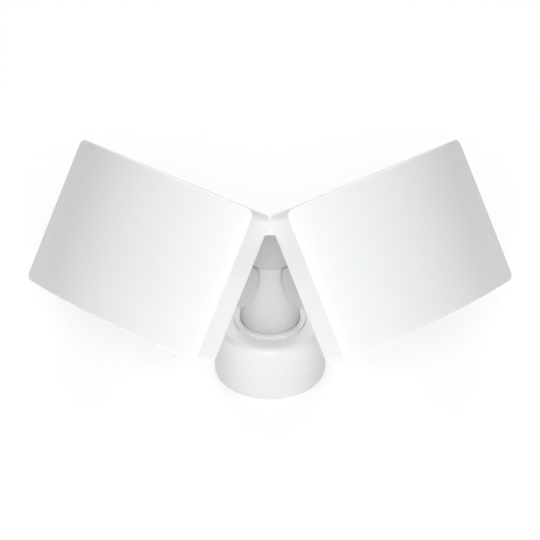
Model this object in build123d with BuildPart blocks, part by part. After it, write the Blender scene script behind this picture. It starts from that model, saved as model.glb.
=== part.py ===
from build123d import *
import math
import os

os.makedirs("parts", exist_ok=True)

# Twin-head motion sensor security light, in millimetres and degrees.
# The base stands on z = 0 with its axis on Z. The two heads look towards -Y, outwards and up.
# Left means -X. Right-hand pieces are the left-hand ones mirrored in the YZ plane.

# ---- base canopy
base_radius = 57.15
base_height = 62.0
base_wall = 2.5
base_top_wall = 3.0
base_edge_round = 6.5
ring_radius = 37.0
ring_rise = 1.6
ring_edge_round = 1.2
ring_groove_radius = 40.5
ring_groove_depth = 1.2
ring_groove_round = 0.8
post_radius = 3.5
post_screw_radius = 1.5

# ---- swivel between base and neck
journal_radius = 24.0
swivel_clearance = 0.06
collar_wall = 6.0
collar_length = 11.0
mouth_gap = 0.5
thrust_washer_thickness = 0.8
running_gap = 0.1
nut_width = 7.0
nut_height = 4.5
wave_washer_thickness = 0.9
washer_inset = 0.4
stop_lug_reach = 4.0
stop_width = 6.0
stop_overlap = 3.5

# ---- neck column and the knuckles that carry the heads
column_foot_radius = 30.5
column_top_radius = 30.0
column_top = 141.6
journal_bore_radius = 20.0
column_bore_radius = 25.0
column_floor = 4.0
head_yaw = 37.2
head_elevation = 37.9
pivot_height = 132.5
knuckle_radius = 21.4
knuckle_length = 15.0
knuckle_overhang = 9.5
knuckle_edge_round = 1.0
knuckle_column_gap = 0.4
web_recess = 4.0
web_root_radius = 12.5
web_foot_radius = 12.0
web_foot_drop = 8.0
web_foot_depth = 40.0
friction_disc_radius = 18.0
friction_disc_thickness = 1.0
friction_gap = 0.15
bolt_radius = 4.0
bolt_clearance = 0.06
bolt_head_radius = 7.0
bolt_head_height = 4.0
bolt_hex_radius = 3.4
bolt_hex_depth = 2.4
insert_radius = 6.5
insert_length = 10.0
spring_washer_thickness = 1.2

# ---- heads
head_length = 241.2
head_height = 155.0
head_corner_round = 8.0
inner_depth = 36.3
outer_depth = 8.0
crown_depth = 51.9
lens_wall = 2.2
lens_edge_round = 2.0
plate_thickness = 2.4
plate_edge_chamfer = 0.8
head_overhang = 21.15
knuckle_plate_gap = 1.0
knuckle_above_middle = 2.9
lug_length = 22.0
lug_foot_spread = 9.0
lug_counterbore_radius = 8.0
lug_counterbore_depth = 7.5
cap_thickness = 1.6
cap_recess = 0.4
lip_gap = 1.6
lip_thickness = 1.5
lip_height = 2.0
gasket_height = 1.2
gasket_side_gap = 0.1
rib_thickness = 1.8
rib_height = 5.0
rib_pitch = 19.0
rib_lug_gap = 17.0
rib_end_gap = 18.0
rib_vent_gap = 4.0

# ---- head screws, set in from the head's edge
screw_inset = 9.5
screw_columns = 4
boss_radius = 3.2
screw_shank_radius = 1.25
screw_hole_clearance = 0.3
screw_head_radius = 2.8
screw_head_height = 1.8
screw_length = 7.6
screw_slot_width = 0.8
screw_slot_depth = 0.8

# ---- light engine inside each head
board_thickness = 1.6
board_end_gap = 22.0
board_side_gap = 21.5
spreader_margin = 5.0
spreader_thickness = 2.0
chip_columns = 10
chip_rows = 6
chip_length = 3.5
chip_width = 2.8
chip_height = 0.8
tray_thickness = 0.6
tray_hole_radius = 3.6
tray_rim_height = 5.0
tray_rim_wall = 0.8
vent_radius = 5.0
vent_height = 3.0
vent_lip = 1.0
vent_stem_radius = 2.4

# ---- motion sensor in the top of the column
chamber_radius = 26.5
chamber_depth = 32.5
lens_seat_depth = 4.0
lens_seat_radius = 28.0
sensor_lens_clearance = 0.2
sensor_lens_thickness = 1.0
sensor_lens_rim = 1.6
sensor_lens_crown = 1.4
sensor_lens_edge_round = 0.5
seal_thickness = 0.6
sensor_board_thickness = 1.6
sensor_board_gap = 0.4
pyro_radius = 4.6
pyro_flange_radius = 5.4
pyro_flange_height = 0.6
pyro_lead_radius = 3.0
pyro_height = 4.3
photocell_radius = 2.5
photocell_height = 3.2
photocell_offset = 12.0
relay_length = 19.0
relay_width = 15.0
relay_height = 15.0
relay_offset = -5.0
capacitor_radius = 5.0
capacitor_height = 14.0
capacitor_offset = 11.0

# ---- adjusting knobs on the back of the column
knob_angles = {"time": 125.0, "range": 90.0, "light": 55.0}
knob_radius = 5.2
knob_proud = 3.0
knob_height_on_board = 5.6
knob_recess_gap = 0.8
knob_recess_depth = 2.0
knob_floor_gap = 0.3
knob_edge_round = 0.6
knob_slot_width = 1.2
knob_slot_depth = 1.4
knob_shaft_radius = 1.95
knob_shaft_clearance = 0.05
pot_width = 9.4
pot_depth = 6.0
pot_height = 10.4
pot_wall_gap = 1.4
pot_bore_depth = 3.0

# ---- what the base holds
gasket_width = 2.4
gasket_thickness = 1.5
gasket_seat_height = 3.0
bracket_thickness = 1.6
bracket_width = 20.0
bracket_ear_width = 12.0
bracket_ear_height = 16.0
bracket_wall_gap = 0.4
bracket_centre_hole = 6.5
box_slot_spacing = 79.4
box_slot_length = 14.2
box_slot_radius = 2.3
side_screw_height = 12.0
side_screw_radius = 1.75
side_screw_head_radius = 3.2
side_screw_head_height = 1.5
side_screw_length = 8.0
ground_screw_x = 22.0
ground_screw_radius = 2.0
ground_screw_head_radius = 4.2
ground_screw_head_height = 2.6
driver_length = 48.0
driver_width = 30.0
driver_height = 28.0
driver_wall_gap = 6.0
driver_nut_gap = 4.0
driver_edge_round = 1.5
driver_ear_length = 9.0
driver_ear_width = 10.0
driver_ear_thickness = 3.0
driver_ear_shift = 6.0
driver_screw_head_radius = 2.8
driver_screw_head_height = 2.0
driver_screw_grip = 8.0
terminal_length = 28.0
terminal_width = 12.0
terminal_height = 10.0
terminal_wall_gap = 3.0
terminal_post_shift = 3.0
terminal_poles = 3
terminal_pitch = 8.5
terminal_entry_radius = 2.2
terminal_screw_radius = 1.8

# ---- levels worked out from the sizes above
ring_top = base_height + ring_rise
groove_floor = base_height - ring_groove_depth
mouth_radius = column_foot_radius + mouth_gap
foot_level = base_height + thrust_washer_thickness + running_gap
collar_bottom = base_height - base_top_wall - collar_length
collar_radius = journal_radius + swivel_clearance + collar_wall
washer_top = collar_bottom - running_gap
nut_top = washer_top - wave_washer_thickness
nut_bottom = nut_top - nut_height
nut_radius = journal_radius + nut_width
stop_rib_inner = nut_radius + stop_lug_reach - stop_overlap
base_inner_radius = base_radius - base_wall
cavity_top = base_height - base_top_wall
driver_top = nut_bottom - driver_nut_gap
driver_reach = math.sqrt((base_inner_radius - driver_wall_gap) ** 2 - (driver_length / 2) ** 2)
driver_centre_y = driver_reach - driver_width / 2
terminal_reach = math.sqrt((base_inner_radius - terminal_wall_gap) ** 2 - (terminal_length / 2) ** 2)
terminal_centre_y = terminal_width / 2 - terminal_reach
terminal_post_y = terminal_centre_y - terminal_post_shift
lens_seat = column_top - lens_seat_depth
chamber_floor = lens_seat - chamber_depth
board_top = chamber_floor + sensor_board_thickness
knob_level = board_top + knob_height_on_board

# ---- the knuckle line: a level axis across the radial arm of each head
column_slope = (column_foot_radius - column_top_radius) / (column_top - foot_level)


def column_radius_at(height):
    """The tapered column's outside radius at a height."""
    return column_foot_radius - column_slope * (height - foot_level)


yaw = math.radians(head_yaw)
elevation = math.radians(head_elevation)
radial = Vector(-math.sin(yaw), -math.cos(yaw), 0)
along = Vector(-math.cos(yaw), math.sin(yaw), 0)
front = radial * math.cos(elevation) + Vector(0, 0, math.sin(elevation))
upward = Vector(0, 0, math.cos(elevation)) - radial * math.sin(elevation)
pivot_reach = column_radius_at(pivot_height) + knuckle_radius + knuckle_column_gap
pivot_point = radial * pivot_reach + Vector(0, 0, pivot_height)
plate_distance = knuckle_radius + knuckle_plate_gap
mating_station = knuckle_length - knuckle_overhang
lug_station = mating_station + friction_disc_thickness + friction_gap
lug_end_station = lug_station + lug_length
head_origin = (
    pivot_point
    - along * head_overhang
    + front * plate_distance
    - upward * knuckle_above_middle
)

# HEAD: x towards the head's inner end, y up its face, z out of its front; z = 0 is the plate's back.
HEAD = Plane(origin=head_origin, x_dir=-along, z_dir=front)
# HEAD_SIDE: the head's long section, x as in HEAD and y out of its front.
HEAD_SIDE = Plane(origin=head_origin, x_dir=-along, z_dir=-upward)


def pivot_plane(station):
    """A plane square to the knuckle axis: x radially outwards, y up, z towards the outer end."""
    return Plane(origin=pivot_point + along * station, x_dir=radial, z_dir=along)


def radial_plane(angle, reach, height):
    """A plane square to a radius of the column, its z pointing outwards."""
    turn = math.radians(angle)
    outward = Vector(math.cos(turn), math.sin(turn), 0)
    sideways = Vector(-math.sin(turn), math.cos(turn), 0)
    return Plane(origin=outward * reach + Vector(0, 0, height), x_dir=sideways, z_dir=outward)


def save(piece, name):
    """Label one piece and write it to its own file."""
    piece.label = name
    export_step(piece, f"parts/{name}.step")


def save_pair(piece, name):
    """Write a left-hand piece and its mirrored right-hand twin."""
    save(piece, f"{name}_left")
    with BuildPart() as twin:
        mirror(piece, about=Plane.YZ)
    save(twin.part, f"{name}_right")


def ring(plane, inner, outer, thickness):
    """A flat washer standing on a plane."""
    with BuildPart() as washer:
        with BuildSketch(plane):
            Circle(outer)
            Circle(inner, mode=Mode.SUBTRACT)
        extrude(amount=thickness)
    return washer.part


def circle_edges(part, radius, height):
    """The level circular edges of a given radius at a given height."""
    near = 0.01
    rounds = part.edges().filter_by(GeomType.CIRCLE)
    return [e for e in rounds if abs(e.radius - radius) < near and abs(e.arc_center.Z - height) < near]


# ============================================================ base
driver_ear_y = driver_centre_y + driver_ear_shift
post_places = [
    (-(driver_length / 2 + driver_ear_length / 2), driver_ear_y),
    (driver_length / 2 + driver_ear_length / 2, driver_ear_y),
]
side_screw_seat = base_radius - side_screw_head_height


def base_canopy():
    """The round canopy: a cup open at the wall, with the swivel collar under its ring."""
    with BuildPart() as canopy:
        with BuildSketch():
            Circle(base_radius)
        extrude(amount=base_height)
        with BuildSketch(Plane.XY.offset(base_height)):
            Circle(ring_radius)
        extrude(amount=ring_rise)
        fillet(circle_edges(canopy, base_radius, base_height), radius=base_edge_round)
        fillet(circle_edges(canopy, ring_radius, ring_top), radius=ring_edge_round)
        # the soft channel round the ring's foot
        with BuildSketch(Plane.XY.offset(base_height)):
            Circle(ring_groove_radius)
            Circle(ring_radius, mode=Mode.SUBTRACT)
        extrude(amount=-ring_groove_depth, mode=Mode.SUBTRACT)
        fillet(circle_edges(canopy, ring_groove_radius, base_height), radius=ring_groove_round)
        with BuildSketch():
            Circle(base_inner_radius)
        extrude(amount=cavity_top, mode=Mode.SUBTRACT)
        with BuildSketch(Plane.XY.offset(gasket_thickness)):
            Circle(base_inner_radius)
            Circle(base_inner_radius - gasket_width, mode=Mode.SUBTRACT)
        extrude(amount=gasket_seat_height)
        with BuildSketch(Plane.XY.offset(collar_bottom)):
            Circle(collar_radius)
        extrude(amount=collar_length)
        with BuildSketch(Plane.XY.offset(driver_top)):
            with Locations(*post_places):
                Circle(post_radius)
            with Locations((0, terminal_post_y)):
                Circle(post_radius)
        extrude(amount=cavity_top - driver_top)
        # the swivel's end stop, straight behind the collar
        with BuildSketch(Plane.XY.offset(nut_bottom)):
            with Locations((0, stop_rib_inner + stop_overlap)):
                Rectangle(stop_width, 2 * stop_overlap)
        extrude(amount=cavity_top - nut_bottom)
        with BuildSketch(Plane.XY.offset(collar_bottom)):
            Circle(journal_radius + swivel_clearance)
        extrude(amount=ring_top - collar_bottom, mode=Mode.SUBTRACT)
        with BuildSketch(Plane.XY.offset(base_height)):
            Circle(mouth_radius)
        extrude(amount=ring_rise, mode=Mode.SUBTRACT)
        with BuildSketch(Plane.XY.offset(driver_top)):
            with Locations(*post_places):
                Circle(post_screw_radius)
        extrude(amount=driver_screw_grip, mode=Mode.SUBTRACT)
        for angle in (0, 180):
            with BuildSketch(radial_plane(angle, side_screw_seat, side_screw_height)):
                Circle(side_screw_head_radius)
            extrude(amount=2 * side_screw_head_height, mode=Mode.SUBTRACT)
            with BuildSketch(radial_plane(angle, side_screw_seat, side_screw_height)):
                Circle(side_screw_radius)
            extrude(amount=-2 * base_wall, mode=Mode.SUBTRACT)
    return canopy.part


def mounting_bracket():
    """The crossbar that goes on the wall box, with an upturned ear at each end."""
    reach = base_inner_radius - gasket_width - bracket_wall_gap
    ear_face = math.sqrt(reach**2 - (bracket_ear_width / 2) ** 2)
    with BuildPart() as bracket:
        with BuildSketch():
            Rectangle(2 * (ear_face - bracket_width / 2), bracket_width)
            Rectangle(2 * ear_face, bracket_ear_width)
            Circle(bracket_centre_hole, mode=Mode.SUBTRACT)
            with GridLocations(box_slot_spacing, 0, 2, 1):
                SlotOverall(box_slot_length, 2 * box_slot_radius, mode=Mode.SUBTRACT)
            with Locations((ground_screw_x, 0)):
                Circle(ground_screw_radius, mode=Mode.SUBTRACT)
        extrude(amount=bracket_thickness)
        for side in (-1, 1):
            with BuildSketch(Plane.XY.offset(bracket_thickness)):
                with Locations((side * (ear_face - bracket_thickness / 2), 0)):
                    Rectangle(bracket_thickness, bracket_ear_width)
            extrude(amount=bracket_ear_height)
        with BuildSketch(Plane.YZ):
            with Locations((0, side_screw_height)):
                Circle(side_screw_radius)
        extrude(amount=base_radius, both=True, mode=Mode.SUBTRACT)
    return bracket.part


def side_screws():
    """The two screws through the canopy's wall into the crossbar's ears."""
    with BuildPart() as screws:
        for angle in (0, 180):
            with BuildSketch(radial_plane(angle, side_screw_seat, side_screw_height)):
                Circle(side_screw_head_radius - screw_hole_clearance)
            extrude(amount=side_screw_head_height)
            with BuildSketch(radial_plane(angle, side_screw_seat, side_screw_height)):
                Circle(side_screw_radius)
            extrude(amount=-side_screw_length)
            with BuildSketch(radial_plane(angle, base_radius - screw_slot_depth, side_screw_height)):
                Rectangle(2 * side_screw_head_radius, screw_slot_width)
            extrude(amount=side_screw_head_height, mode=Mode.SUBTRACT)
    return screws.part


def ground_screw():
    """The earth screw on the crossbar."""
    with BuildPart() as screw:
        with BuildSketch(Plane.XY.offset(bracket_thickness)):
            with Locations((ground_screw_x, 0)):
                RegularPolygon(ground_screw_head_radius, 6)
        extrude(amount=ground_screw_head_height)
        with BuildSketch():
            with Locations((ground_screw_x, 0)):
                Circle(ground_screw_radius)
        extrude(amount=bracket_thickness)
    return screw.part


def driver_box():
    """The potted power supply, hung from two posts by its ears."""
    with BuildPart() as driver:
        with BuildSketch(Plane.XY.offset(driver_top - driver_height)):
            with Locations((0, driver_centre_y)):
                Rectangle(driver_length, driver_width)
        extrude(amount=driver_height)
        fillet(driver.edges().filter_by(Axis.Z), radius=driver_edge_round)
        with BuildSketch(Plane.XY.offset(driver_top - driver_ear_thickness)):
            with Locations((0, driver_ear_y)):
                Rectangle(driver_length + 2 * driver_ear_length, driver_ear_width)
        extrude(amount=driver_ear_thickness)
        with BuildSketch(Plane.XY.offset(driver_top - driver_ear_thickness)):
            with Locations(*post_places):
                Circle(post_screw_radius)
        extrude(amount=driver_ear_thickness, mode=Mode.SUBTRACT)
    return driver.part


def driver_screws():
    """The two screws that hang the power supply from its posts."""
    seat = driver_top - driver_ear_thickness
    with BuildPart() as screws:
        with BuildSketch(Plane.XY.offset(seat)):
            with Locations(*post_places):
                Circle(post_screw_radius)
        extrude(amount=driver_screw_grip)
        with BuildSketch(Plane.XY.offset(seat)):
            with Locations(*post_places):
                Circle(driver_screw_head_radius)
        extrude(amount=-driver_screw_head_height)
    return screws.part


def terminal_block():
    """The three-pole terminal block under its own post."""
    with BuildPart() as terminals:
        with BuildSketch(Plane.XY.offset(driver_top - terminal_height)):
            with Locations((0, terminal_centre_y)):
                Rectangle(terminal_length, terminal_width)
        extrude(amount=terminal_height)
        with BuildSketch(Plane.XZ.offset(-(terminal_centre_y + terminal_width / 2))):
            with Locations((0, driver_top - terminal_height / 2)):
                with GridLocations(terminal_pitch, 0, terminal_poles, 1):
                    Circle(terminal_entry_radius)
        extrude(amount=terminal_width / 2, mode=Mode.SUBTRACT)
        with BuildSketch(Plane.XY.offset(driver_top - terminal_height)):
            with Locations((0, terminal_centre_y - terminal_width / 4)):
                with GridLocations(terminal_pitch, 0, terminal_poles, 1):
                    Circle(terminal_screw_radius)
        extrude(amount=terminal_height / 4, mode=Mode.SUBTRACT)
    return terminals.part


save(base_canopy(), "base_canopy")
save(ring(Plane.XY, base_inner_radius - gasket_width, base_inner_radius, gasket_thickness), "base_gasket")
save(mounting_bracket(), "mounting_bracket")
save(side_screws(), "canopy_side_screws")
save(ground_screw(), "ground_screw")
save(driver_box(), "driver_box")
save(driver_screws(), "driver_screws")
save(terminal_block(), "terminal_block")
thrust_washer = ring(
    Plane.XY.offset(base_height),
    journal_radius + washer_inset,
    column_foot_radius - washer_inset,
    thrust_washer_thickness,
)
save(thrust_washer, "thrust_washer")


# ============================================================ neck
def knuckle_arm():
    """The left fixed knuckle barrel and the web that joins it to the column."""
    with BuildPart() as arm:
        with BuildSketch(pivot_plane(-knuckle_overhang)):
            Circle(knuckle_radius)
        extrude(amount=knuckle_length)
        fillet(arm.edges().filter_by(GeomType.CIRCLE), radius=knuckle_edge_round)
        with BuildSketch(pivot_plane(-knuckle_overhang + web_recess)):
            Circle(web_root_radius)
            with Locations((-web_foot_depth, -web_foot_drop)):
                Circle(web_foot_radius)
            make_hull()
        extrude(amount=knuckle_length - 2 * web_recess)
    return arm.part


def neck_column():
    """The hollow column with its journal, its two knuckle arms and the sensor chamber."""
    arm = knuckle_arm()
    with BuildPart() as neck:
        with BuildSketch(Plane.XZ):
            with BuildLine():
                Polyline(
                    (0, nut_bottom),
                    (journal_radius, nut_bottom),
                    (journal_radius, foot_level),
                    (column_foot_radius, foot_level),
                    (column_top_radius, column_top),
                    (0, column_top),
                    close=True,
                )
            make_face()
        revolve(axis=Axis.Z)
        add(arm)
        mirror(arm, about=Plane.YZ)
        with BuildSketch(Plane.XY.offset(nut_bottom)):
            Circle(journal_bore_radius)
        extrude(amount=column_top - nut_bottom, mode=Mode.SUBTRACT)
        with BuildSketch(Plane.XY.offset(foot_level + column_floor)):
            Circle(column_bore_radius)
        extrude(amount=column_top - foot_level, mode=Mode.SUBTRACT)
        with BuildSketch(Plane.XY.offset(chamber_floor)):
            Circle(chamber_radius)
        extrude(amount=column_top - chamber_floor, mode=Mode.SUBTRACT)
        with BuildSketch(Plane.XY.offset(lens_seat)):
            Circle(lens_seat_radius)
        extrude(amount=lens_seat_depth, mode=Mode.SUBTRACT)
        for angle in knob_angles.values():
            recess_floor = column_radius_at(knob_level) - knob_recess_depth
            with BuildSketch(radial_plane(angle, recess_floor, knob_level)):
                Circle(knob_radius + knob_recess_gap)
            extrude(amount=2 * knob_recess_depth, mode=Mode.SUBTRACT)
            with BuildSketch(radial_plane(angle, recess_floor, knob_level)):
                Circle(knob_shaft_radius + knob_shaft_clearance)
            extrude(amount=-2 * knob_recess_depth, mode=Mode.SUBTRACT)
        # pocket for each threaded insert, in the barrel's mating face
        with BuildSketch(pivot_plane(mating_station)):
            Circle(insert_radius)
        pocket = extrude(amount=-insert_length, mode=Mode.SUBTRACT)
        mirror(pocket, about=Plane.YZ, mode=Mode.SUBTRACT)
    return neck.part


def retaining_nut():
    """The ring nut under the collar, with the lug that meets the base's stop."""
    with BuildPart() as nut:
        with BuildSketch(Plane.XY.offset(nut_bottom)):
            Circle(nut_radius)
            with Locations((0, -nut_radius)):
                Rectangle(stop_width, 2 * stop_lug_reach)
            Circle(journal_radius, mode=Mode.SUBTRACT)
        extrude(amount=nut_height)
    return nut.part


def dome_arc(reach, rise, top):
    """A shallow arc in the upright plane, from its rim to its top on the column's axis."""
    ball = (reach**2 + rise**2) / (2 * rise)
    sweep = math.degrees(math.asin(reach / ball))
    return CenterArc((0, top - ball), ball, 90 - sweep, sweep)


def sensor_lens():
    """The shallow domed sensor window that caps the column's end, flush with its wall."""
    edge = column_top_radius
    rim = column_top + sensor_lens_rim
    spigot = lens_seat_radius - sensor_lens_clearance
    hollow = spigot - sensor_lens_thickness
    bottom = lens_seat + seal_thickness
    top = rim + sensor_lens_crown
    with BuildPart() as lens:
        with BuildSketch(Plane.XZ):
            with BuildLine():
                outside = dome_arc(edge, sensor_lens_crown, top)
                inside = dome_arc(hollow, sensor_lens_crown, top - sensor_lens_thickness)
                Line(outside @ 1, inside @ 1)
                Polyline(
                    outside @ 0,
                    (edge, column_top),
                    (spigot, column_top),
                    (spigot, bottom),
                    (hollow, bottom),
                    inside @ 0,
                )
            make_face()
        revolve(axis=Axis.Z)
        fillet(circle_edges(lens, edge, rim), radius=sensor_lens_edge_round)
    return lens.part


def pyro_sensor():
    """The two-element infrared detector in its round can, in the middle of the board."""
    with BuildPart() as can:
        with BuildSketch(Plane.XY.offset(board_top)):
            Circle(pyro_flange_radius)
        extrude(amount=pyro_flange_height)
        with BuildSketch(Plane.XY.offset(board_top)):
            Circle(pyro_radius)
        extrude(amount=pyro_height)
    return can.part


def board_parts_below():
    """The relay, hanging under the sensor board."""
    with BuildPart() as relay:
        with BuildSketch(Plane.XY.offset(chamber_floor)):
            with Locations((0, relay_offset)):
                Rectangle(relay_length, relay_width)
        extrude(amount=-relay_height)
    return relay.part


def round_part(x, y, level, radius, height):
    """A small round component standing on, or hanging from, the sensor board."""
    with BuildPart() as component:
        with BuildSketch(Plane.XY.offset(level)):
            with Locations((x, y)):
                Circle(radius)
        extrude(amount=height)
    return component.part


pot_face = chamber_radius - pot_wall_gap


def potentiometers():
    """The three trimmers on the sensor board, one behind each knob."""
    with BuildPart() as pots:
        for angle in knob_angles.values():
            with BuildSketch(radial_plane(angle, pot_face, board_top + pot_height / 2)):
                Rectangle(pot_width, pot_height)
            extrude(amount=-pot_depth)
            with BuildSketch(radial_plane(angle, pot_face, knob_level)):
                Circle(knob_shaft_radius + knob_shaft_clearance)
            extrude(amount=-(pot_bore_depth + knob_floor_gap), mode=Mode.SUBTRACT)
    return pots.part


def knob(angle):
    """One adjusting knob with its shaft and its screwdriver slot."""
    seat = column_radius_at(knob_level) - knob_recess_depth + knob_floor_gap
    face = column_radius_at(knob_level) + knob_proud
    with BuildPart() as dial:
        with BuildSketch(radial_plane(angle, seat, knob_level)):
            Circle(knob_radius)
        extrude(amount=face - seat)
        fillet(dial.edges().filter_by(GeomType.CIRCLE), radius=knob_edge_round)
        with BuildSketch(radial_plane(angle, face - knob_slot_depth, knob_level)):
            Rectangle(knob_slot_width, 2 * knob_radius - 2 * knob_slot_width)
        extrude(amount=2 * knob_slot_depth, mode=Mode.SUBTRACT)
        with BuildSketch(radial_plane(angle, seat, knob_level)):
            Circle(knob_shaft_radius)
        extrude(amount=-(seat - pot_face + pot_bore_depth))
    return dial.part


save(neck_column(), "neck_column")
save(retaining_nut(), "retaining_nut")
wave_washer = ring(
    Plane.XY.offset(nut_top),
    journal_radius + washer_inset,
    nut_radius - washer_inset,
    wave_washer_thickness,
)
save(wave_washer, "wave_washer")
save(sensor_lens(), "sensor_lens")
lens_seal = ring(
    Plane.XY.offset(lens_seat),
    chamber_radius + sensor_lens_clearance,
    lens_seat_radius - sensor_lens_clearance,
    seal_thickness,
)
save(lens_seal, "sensor_lens_seal")
sensor_board = ring(
    Plane.XY.offset(chamber_floor),
    pyro_lead_radius,
    chamber_radius - sensor_board_gap,
    sensor_board_thickness,
)
save(sensor_board, "sensor_board")
save(pyro_sensor(), "infrared_detector")
save(round_part(photocell_offset, 0, board_top, photocell_radius, photocell_height), "photocell")
save(board_parts_below(), "relay")
capacitor = round_part(0, capacitor_offset, chamber_floor, capacitor_radius, -capacitor_height)
save(capacitor, "capacitor")
save(potentiometers(), "potentiometers")
for knob_name, knob_angle in knob_angles.items():
    save(knob(knob_angle), f"{knob_name}_knob")


# ============================================================ knuckle hardware
bolt_seat_station = lug_end_station - lug_counterbore_depth
washer_station = bolt_seat_station + friction_gap


def pivot_insert():
    """The brass insert in the fixed barrel, threaded for the pivot bolt."""
    with BuildPart() as insert:
        with BuildSketch(pivot_plane(mating_station)):
            Circle(insert_radius)
            Circle(bolt_radius, mode=Mode.SUBTRACT)
        extrude(amount=-insert_length)
    return insert.part


def friction_disc():
    """The friction disc on the fixed barrel's face."""
    with BuildPart() as disc:
        with BuildSketch(pivot_plane(mating_station)):
            Circle(friction_disc_radius)
            Circle(bolt_radius, mode=Mode.SUBTRACT)
        extrude(amount=friction_disc_thickness)
    return disc.part


def spring_washer():
    """The spring washer under the pivot bolt's head."""
    with BuildPart() as washer:
        with BuildSketch(pivot_plane(washer_station)):
            Circle(bolt_head_radius)
            Circle(bolt_radius, mode=Mode.SUBTRACT)
        extrude(amount=spring_washer_thickness)
    return washer.part


def pivot_bolt():
    """The bolt that the head turns on, with a hexagon socket in its head."""
    head_station = washer_station + spring_washer_thickness
    with BuildPart() as bolt:
        with BuildSketch(pivot_plane(mating_station - insert_length)):
            Circle(bolt_radius)
        extrude(amount=head_station - mating_station + insert_length)
        with BuildSketch(pivot_plane(head_station)):
            Circle(bolt_head_radius)
        extrude(amount=bolt_head_height)
        with BuildSketch(pivot_plane(head_station + bolt_head_height)):
            RegularPolygon(bolt_hex_radius, 6)
        extrude(amount=-bolt_hex_depth, mode=Mode.SUBTRACT)
    return bolt.part


save_pair(pivot_insert(), "pivot_insert")
save_pair(friction_disc(), "friction_disc")
save_pair(spring_washer(), "spring_washer")
save_pair(pivot_bolt(), "pivot_bolt")


# ============================================================ heads
def wing(bottom, inset):
    """The head's wing shape above a level, drawn in all round by a wall's thickness."""
    floor = bottom - 2 * inset
    with BuildPart() as body:
        with BuildSketch(HEAD.offset(bottom)):
            with Locations((-head_length / 2, 0)):
                RectangleRounded(
                    head_length - 2 * inset, head_height - 2 * inset, head_corner_round - inset
                )
        extrude(amount=2 * inner_depth)
        with BuildSketch(HEAD_SIDE):
            with BuildLine():
                Line((0, floor), (0, inner_depth))
                ThreePointArc((0, inner_depth), (-head_length / 2, crown_depth), (-head_length, outer_depth))
                Line((-head_length, outer_depth), (-head_length, floor))
                Line((-head_length, floor), (0, floor))
            make_face()
            offset(amount=-inset)
        extrude(amount=head_height, both=True, mode=Mode.INTERSECT)
    return body.part


def screw_spots():
    """Where the head's screws stand, in the head's plane."""
    pitch = (head_length - 2 * screw_inset) / (screw_columns - 1)
    height = head_height / 2 - screw_inset
    return [
        (-screw_inset - pitch * column, side * height)
        for column in range(screw_columns)
        for side in (-1, 1)
    ]


def front_lens():
    """The opal front: a hollow wing-shaped cover with screw bosses inside."""
    cavity = wing(plate_thickness, lens_wall)
    with BuildPart() as bosses:
        with BuildSketch(HEAD.offset(plate_thickness)):
            with Locations(*screw_spots()):
                Circle(boss_radius)
        extrude(amount=2 * inner_depth)
        add(cavity, mode=Mode.INTERSECT)
    with BuildPart() as lens:
        add(wing(plate_thickness, 0.0))
        glow = lens.faces().filter_by(GeomType.CYLINDER).sort_by(SortBy.AREA)[-1]
        fillet(glow.edges(), radius=lens_edge_round)
        add(cavity, mode=Mode.SUBTRACT)
        add(bosses.part)
        with BuildSketch(HEAD.offset(plate_thickness)):
            with Locations(*screw_spots()):
                Circle(screw_shank_radius)
        extrude(amount=screw_length - plate_thickness, mode=Mode.SUBTRACT)
    return lens.part


lip_inset = lens_wall + lip_gap
board_length = head_length - 2 * board_end_gap
board_height = head_height - 2 * board_side_gap
board_centre_x = -head_length / 2
chip_pitch_x = board_length / chip_columns
chip_pitch_y = board_height / chip_rows
rib_start = head_overhang + lug_end_station + rib_lug_gap
rib_count = 1 + int((head_length - rib_start - rib_end_gap) / rib_pitch)
rib_length = head_height - 2 * (screw_inset + vent_radius + rib_vent_gap)
vent_spot = (-head_length / 2, screw_inset - head_height / 2)


def rounded_frame(inset, width, height):
    """A rounded rectangular bead on the housing plate, a given way in from the head's edge."""
    with BuildPart() as frame:
        with BuildSketch(HEAD.offset(plate_thickness)):
            with Locations((-head_length / 2, 0)):
                RectangleRounded(
                    head_length - 2 * inset, head_height - 2 * inset, head_corner_round - inset
                )
                RectangleRounded(
                    head_length - 2 * (inset + width),
                    head_height - 2 * (inset + width),
                    head_corner_round - inset - width,
                    mode=Mode.SUBTRACT,
                )
        extrude(amount=height)
    return frame.part


def rear_housing():
    """The back plate with its lens lip, cooling ribs and the turning half of the knuckle."""
    with BuildPart() as housing:
        with BuildSketch(HEAD):
            with Locations((-head_length / 2, 0)):
                RectangleRounded(head_length, head_height, head_corner_round)
        extrude(amount=plate_thickness)
        back = housing.faces().sort_by(Axis(head_origin, front))[0]
        chamfer(back.edges(), length=plate_edge_chamfer)
        add(rounded_frame(lip_inset, lip_thickness, lip_height))
        with BuildSketch(HEAD):
            for rib in range(rib_count):
                with Locations((-(rib_start + rib * rib_pitch), 0)):
                    SlotOverall(rib_length, rib_thickness, rotation=90)
        extrude(amount=-rib_height)
        # the lug: a barrel on the knuckle line, spreading into the plate
        with BuildSketch(pivot_plane(lug_station)):
            Circle(knuckle_radius)
            Polygon(
                (0, knuckle_radius),
                (plate_distance + plate_thickness / 2, knuckle_radius + lug_foot_spread),
                (plate_distance + plate_thickness / 2, -knuckle_radius - lug_foot_spread),
                (0, -knuckle_radius),
                rotation=head_elevation,
                align=None,
            )
        extrude(amount=lug_length)
        with BuildSketch(pivot_plane(lug_station)):
            Circle(bolt_radius + bolt_clearance)
        extrude(amount=lug_length, mode=Mode.SUBTRACT)
        with BuildSketch(pivot_plane(bolt_seat_station)):
            Circle(lug_counterbore_radius)
        extrude(amount=lug_counterbore_depth, mode=Mode.SUBTRACT)
        with BuildSketch(HEAD):
            with Locations(*screw_spots()):
                Circle(screw_shank_radius + screw_hole_clearance)
            with Locations(vent_spot):
                Circle(vent_stem_radius)
        extrude(amount=plate_thickness, mode=Mode.SUBTRACT)
    return housing.part


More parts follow.
